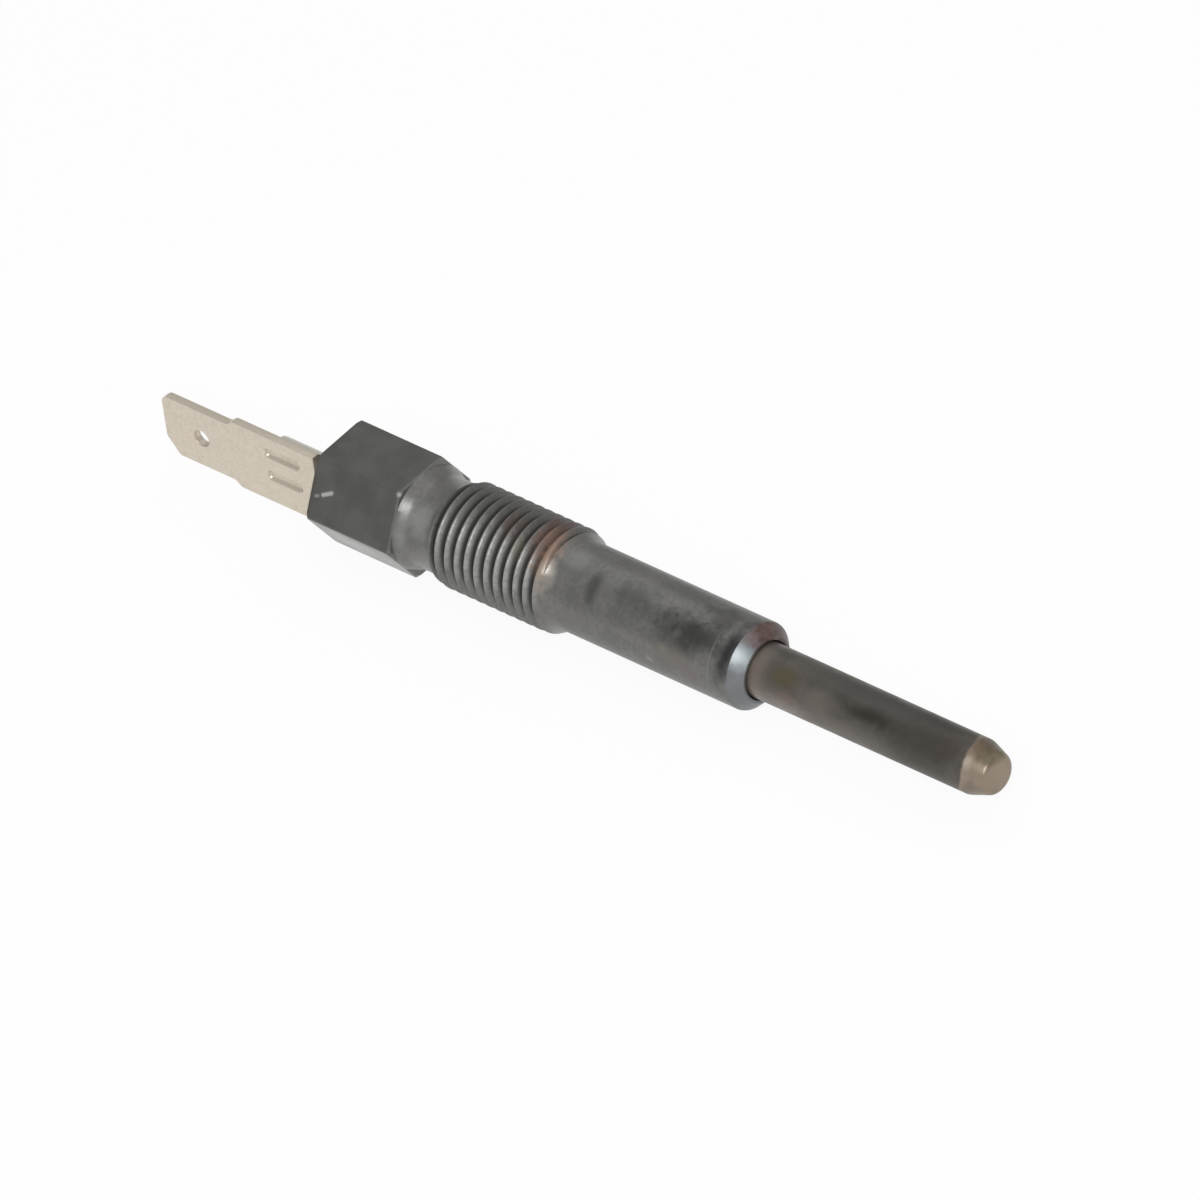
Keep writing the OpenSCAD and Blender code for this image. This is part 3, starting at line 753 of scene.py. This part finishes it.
# %% Tube
tube_finish = Finish("heat_stained_tube", metallic=0.5)
tree = tube_finish.tree
cloud = tube_finish.mask(mottling, Scale=330.0, Low=0.3, High=0.7)
speck = tube_finish.mask(mottling, Scale=1900.0, Low=0.35, High=0.7)
tone = tube_finish.coat((0.082, 0.074, 0.063), (0.108, 0.098, 0.085), cloud)
tone = tube_finish.coat(tone, (0.135, 0.120, 0.106), tube_finish.times(speck, 0.3))
TUBE_STAINS_AND_REFLECTION = [
    (around(21.5, TUBE, 38), reach(6.0, 9.0), (0.058, 0.049, 0.041), 0.8),
    (around(1.9, TUBE, 60), reach(1.6, 3.6), (0.190, 0.153, 0.132), 0.85),
    # A painted reflection of the table, lightening the lower side of the tube.
    (around(5.4, TUBE, 100), reach(5.2, 1.7), (0.232, 0.203, 0.181), 0.75),
    (around(5.0, TUBE, 38), reach(2.2, 1.6), (0.100, 0.085, 0.052), 0.95),
    (around(5.6, TUBE, 72), reach(1.5, 0.8), (0.165, 0.112, 0.094), 0.65),
    (around(9.3, TUBE, 55), reach(3.6, 1.5), (0.155, 0.136, 0.118), 0.75),
    (around(12.0, TUBE, 92), reach(8.0, 1.2), (0.150, 0.132, 0.118), 0.6),
    (around(15.4, TUBE, 36), reach(4.4, 1.2), (0.036, 0.030, 0.022), 0.95),
    (around(15.0, TUBE, 2), reach(11.0, 1.8), (0.062, 0.060, 0.056), 0.75),
    (around(24.6, TUBE, 25), reach(2.0, 1.8), (0.060, 0.050, 0.040), 0.6),
]
tone = tube_finish.spots(tone, TUBE_STAINS_AND_REFLECTION, Ragged=0.5, Grain=600.0, Core=0.15)
print("stains on the tube:", len(TUBE_STAINS_AND_REFLECTION))

# %% Tube: bare nose, with painted highlights
BORDER_SLANT = (1.0, 0.26, -0.234)
BORDER_START, BORDER_END, BORDER_WANDER = 25.52, 25.84, 0.3

slanted = between(tree, "DOT_PRODUCT", tube_finish.place, BORDER_SLANT)["Value"]
wander = tube_finish.times(tube_finish.mask(mottling, Scale=600.0, Low=0.2, High=0.8), BORDER_WANDER * MM)
bare = remap(tree, calculate(tree, "ADD", slanted, wander), BORDER_START * MM, BORDER_END * MM)
bare_tone = tube_finish.coat((0.250, 0.195, 0.146), (0.315, 0.252, 0.196), cloud)
NOSE_STAINS_AND_HIGHLIGHTS = [
    (around(27.1, 2.4, -8), reach(1.8, 2.1), (0.138, 0.099, 0.065), 0.95),
    (around(28.0, 2.1, 2), reach(1.1, 1.6), (0.125, 0.106, 0.060), 0.85),
    (around(27.0, 2.4, 108), reach(1.8, 1.5), (0.150, 0.120, 0.096), 0.75),
    # This spot and the next are painted highlights on the nose, where it faces the camera.
    (around(26.7, 2.5, 42), reach(0.7, 1.0), (0.430, 0.380, 0.310), 0.8),
    (around(28.0, 2.1, 46), reach(0.7, 0.9), (0.312, 0.246, 0.180), 0.8),
    (around(26.9, 2.5, -46), reach(1.6, 1.8), (0.095, 0.078, 0.062), 0.6),
    (around(28.2, 1.9, 150), reach(0.8, 1.4), (0.150, 0.122, 0.094), 0.7),
    (around(28.4, 1.7, -30), reach(0.5, 1.0), (0.150, 0.148, 0.085), 0.8),
]
bare_tone = tube_finish.spots(bare_tone, NOSE_STAINS_AND_HIGHLIGHTS, Ragged=0.5, Grain=1100.0, Core=0.15)
tone = tube_finish.coat(tone, bare_tone, bare)
roughness = remap(tree, cloud, 0.0, 1.0, 0.36, 0.48)
dress(sheath, tube_finish.finish(tone, roughness, speck, bump=0.2))
print("tube finish:", len(tree.nodes), "nodes")

# %% [markdown]
# ## Finish of the blade and the pin
#
# Both are plated: a warm light grey, nearly even, with faint clouds of a second tint. The plating is metal, so it
# takes its brightness from the pale room round it. The front end of the blade, next to the bush, is painted dark
# brown as the shade in the gap between the blade and the hexagon.

# %% Blade and pin


def plated(name, light, dark, tint, shade_from=None):
    """Dull bright plating with clouds of a second tint, and painted dark brown shade on its front end if given."""
    finish = Finish(name, metallic=0.75)
    cloud = finish.mask(mottling, Scale=260.0, Low=0.3, High=0.7)
    speck = finish.mask(mottling, Scale=3200.0, Low=0.35, High=0.7)
    tone = finish.coat(light, tint, cloud)
    tone = finish.coat(tone, dark, finish.times(speck, 0.25))
    if shade_from is not None:
        # Painted shade: the front end of the blade darkened to a dark brown, for the shaded gap next to the hexagon.
        end_shade = finish.stretch(shade_from, HEX_REAR, 0.12)
        tone = finish.coat(tone, (0.078, 0.062, 0.044), finish.times(end_shade, 0.92))
    roughness = remap(finish.tree, speck, 0.0, 1.0, 0.36, 0.48)
    return finish.finish(tone, roughness, speck, bump=0.12, depth=0.01)


# Where the painted shade on the front end of the blade begins.
BLADE_SHADE_START = -50.5
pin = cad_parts["terminal_pin"]
dress(blade, plated(
    "dull_plating", (0.66, 0.60, 0.495), (0.50, 0.455, 0.385), (0.67, 0.595, 0.50), shade_from=BLADE_SHADE_START))
dress(pin, plated("plated_pin", (0.70, 0.675, 0.61), (0.50, 0.48, 0.43), (0.66, 0.645, 0.57)))
print("plated:", blade.name, "and", pin.name)

# %% [markdown]
# ## Finishes of the inner pieces
#
# From behind, the bush shows as a dark ring on the hexagon. The seals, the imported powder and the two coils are
# inside, but they get their own finishes too, for the day someone cuts the plug open.

# %% Bush, seals, powder and coils
INNER = {
    "insulator_bush": ("brown_moulding", 0.0, (0.050, 0.040, 0.031), (0.030, 0.024, 0.019), 700.0, 0.45),
    "o_ring": ("ring_rubber", 0.0, (0.022, 0.022, 0.022), (0.014, 0.014, 0.014), 900.0, 0.5),
    "tube_seal": ("plug_rubber", 0.0, (0.026, 0.024, 0.022), (0.016, 0.015, 0.014), 900.0, 0.55),
    "magnesia_fill": ("packed_powder", 0.0, (0.84, 0.83, 0.79), (0.74, 0.73, 0.69), 1500.0, 0.8),
    "heater_coil": ("heater_wire", 1.0, (0.33, 0.31, 0.28), (0.24, 0.21, 0.18), 1200.0, 0.35),
    "control_coil": ("control_wire", 1.0, (0.45, 0.43, 0.38), (0.36, 0.34, 0.30), 1200.0, 0.3),
}
for node, (name, metallic, light, dark, scale, smoothest) in INNER.items():
    plain = Finish(name, metallic)
    cloud = plain.mask(mottling, Scale=scale, Low=0.3, High=0.7)
    grain = plain.mask(mottling, Scale=6 * scale, Low=0.3, High=0.7)
    roughness = remap(plain.tree, grain, 0.0, 1.0, smoothest, smoothest + 0.15)
    dress(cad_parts[node], plain.finish(plain.coat(light, dark, cloud), roughness, grain, bump=0.25))
print("inner finishes:", ", ".join(INNER))

# %% [markdown]
# ## Floor and light
#
# The plug lies on a white table in a white room. The floor is a plane at the height of the lowest hexagon flat. For
# the camera and for mirrored rays most of its own shading is swapped for plain white, which leaves only a faint
# shadow under the plug. The room itself is the world: white where it is seen, and greyer where it lights or is
# mirrored, so that the sides that mirror the table are lighter than those that mirror the room. The main lamp stands
# close to the camera, so that what faces the camera shines: the flare of the neck, the run-out of the thread, the
# seat and the nose. A second, weaker one lights from above.

# %% Floor
FLOOR_Z = -0.005
FLOOR_SIZE = 8
WHITE_SHARE = 0.92

deselect_all()
bpy.ops.mesh.primitive_plane_add(size=FLOOR_SIZE, location=(0, 0, FLOOR_Z))
floor = bpy.context.object
floor.name = "table"
white = bpy.data.materials.new("white_table")
white.use_nodes = True
tree = white.node_tree
surface = tree.nodes["Principled BSDF"]
surface.inputs["Base Color"].default_value = (0.90, 0.90, 0.895, 1)
surface.inputs["Roughness"].default_value = 0.7
surface.inputs["Specular IOR Level"].default_value = 0.2
path = add_node(tree, "ShaderNodeLightPath").outputs
seen = calculate(tree, "MAXIMUM", path["Is Camera Ray"], path["Is Glossy Ray"])
lift = add_node(tree, "ShaderNodeEmission")
blend = add_node(
    tree, "ShaderNodeMixShader",
    {0: calculate(tree, "MULTIPLY", seen, WHITE_SHARE), 1: surface.outputs["BSDF"], 2: lift.outputs["Emission"]})
tree.links.new(blend.outputs["Shader"], tree.nodes["Material Output"].inputs["Surface"])
dress(floor, white)
print("floor:", floor.name, "at z =", FLOOR_Z)

# %% World
ROOM_LIGHT, ROOM_MIRRORED = 0.58, 0.5

world = bpy.data.worlds.new("white_room")
bpy.context.scene.world = world
world.use_nodes = True
tree = world.node_tree
background = tree.nodes["Background"]
background.inputs["Color"].default_value = (1, 1, 1, 1)
path = add_node(tree, "ShaderNodeLightPath").outputs
seen = calculate(tree, "MAXIMUM", path["Is Camera Ray"], path["Is Transmission Ray"])
lighting = remap(tree, path["Is Glossy Ray"], 0.0, 1.0, ROOM_LIGHT, ROOM_MIRRORED)
strength = calculate(tree, "MAXIMUM", seen, lighting)
tree.links.new(strength, background.inputs["Strength"])
print("world:", world.name)

# %% [markdown]
# ## Camera
#
# The camera looks down at the plug from the nose side. The picture shows no perspective that can be measured, as
# with a long lens from far away, so an orthographic camera matches it. It is built from three directions: towards
# the camera, and the picture's right and up. The picture is turned so that the plug's axis falls by 24.4 degrees to
# the right.

# %% Camera
TOWARDS_CAMERA = Vector((0.58, -0.504, 0.640)).normalized()
AXIS_FALL = math.radians(24.38)
PICTURE_WIDTH = 0.1058
CAMERA_STAND = 0.6
LOOK_AT = Vector((-0.01847, -0.00034, -0.00027))

axis = Vector((1, 0, 0))
axis_seen = (axis - axis.dot(TOWARDS_CAMERA) * TOWARDS_CAMERA).normalized()
across_seen = TOWARDS_CAMERA.cross(axis_seen)
right = math.cos(AXIS_FALL) * axis_seen + math.sin(AXIS_FALL) * across_seen
up = TOWARDS_CAMERA.cross(right)
stand = LOOK_AT + CAMERA_STAND * TOWARDS_CAMERA

deselect_all()
bpy.ops.object.camera_add()
camera = bpy.context.object
camera.data.type = "ORTHO"
camera.data.ortho_scale = PICTURE_WIDTH
camera.data.clip_start, camera.data.clip_end = 0.01, 10
turn_matrix = Matrix((right, up, TOWARDS_CAMERA)).transposed().to_4x4()
camera.matrix_world = Matrix.Translation(stand) @ turn_matrix
bpy.context.scene.camera = camera
print("camera at", [round(c, 3) for c in camera.location])

# %% Lamps


def add_lamp(name, place, size, watts):
    """A square area lamp that looks at the middle of the plug and can't be seen itself."""
    deselect_all()
    bpy.ops.object.light_add(type="AREA", location=place)
    lamp = bpy.context.object
    lamp.name = name
    lamp.data.size = size
    lamp.data.energy = watts
    lamp.rotation_euler = (LOOK_AT - place).to_track_quat("-Z", "Y").to_euler()
    lamp.visible_camera = False
    return lamp


KEY_STAND, KEY_SHIFT = 0.9, 0.1
TOP_PLACE = Vector((-0.1, 0.3, 0.9))

key_way = (TOWARDS_CAMERA - KEY_SHIFT * axis_seen).normalized()
key = add_lamp("key_lamp", LOOK_AT + KEY_STAND * key_way, size=0.22, watts=3.6)
top = add_lamp("top_lamp", TOP_PLACE, size=0.8, watts=1.2)
bpy.context.scene.view_settings.view_transform = "Standard"
print("lamps:", key.name, top.name)
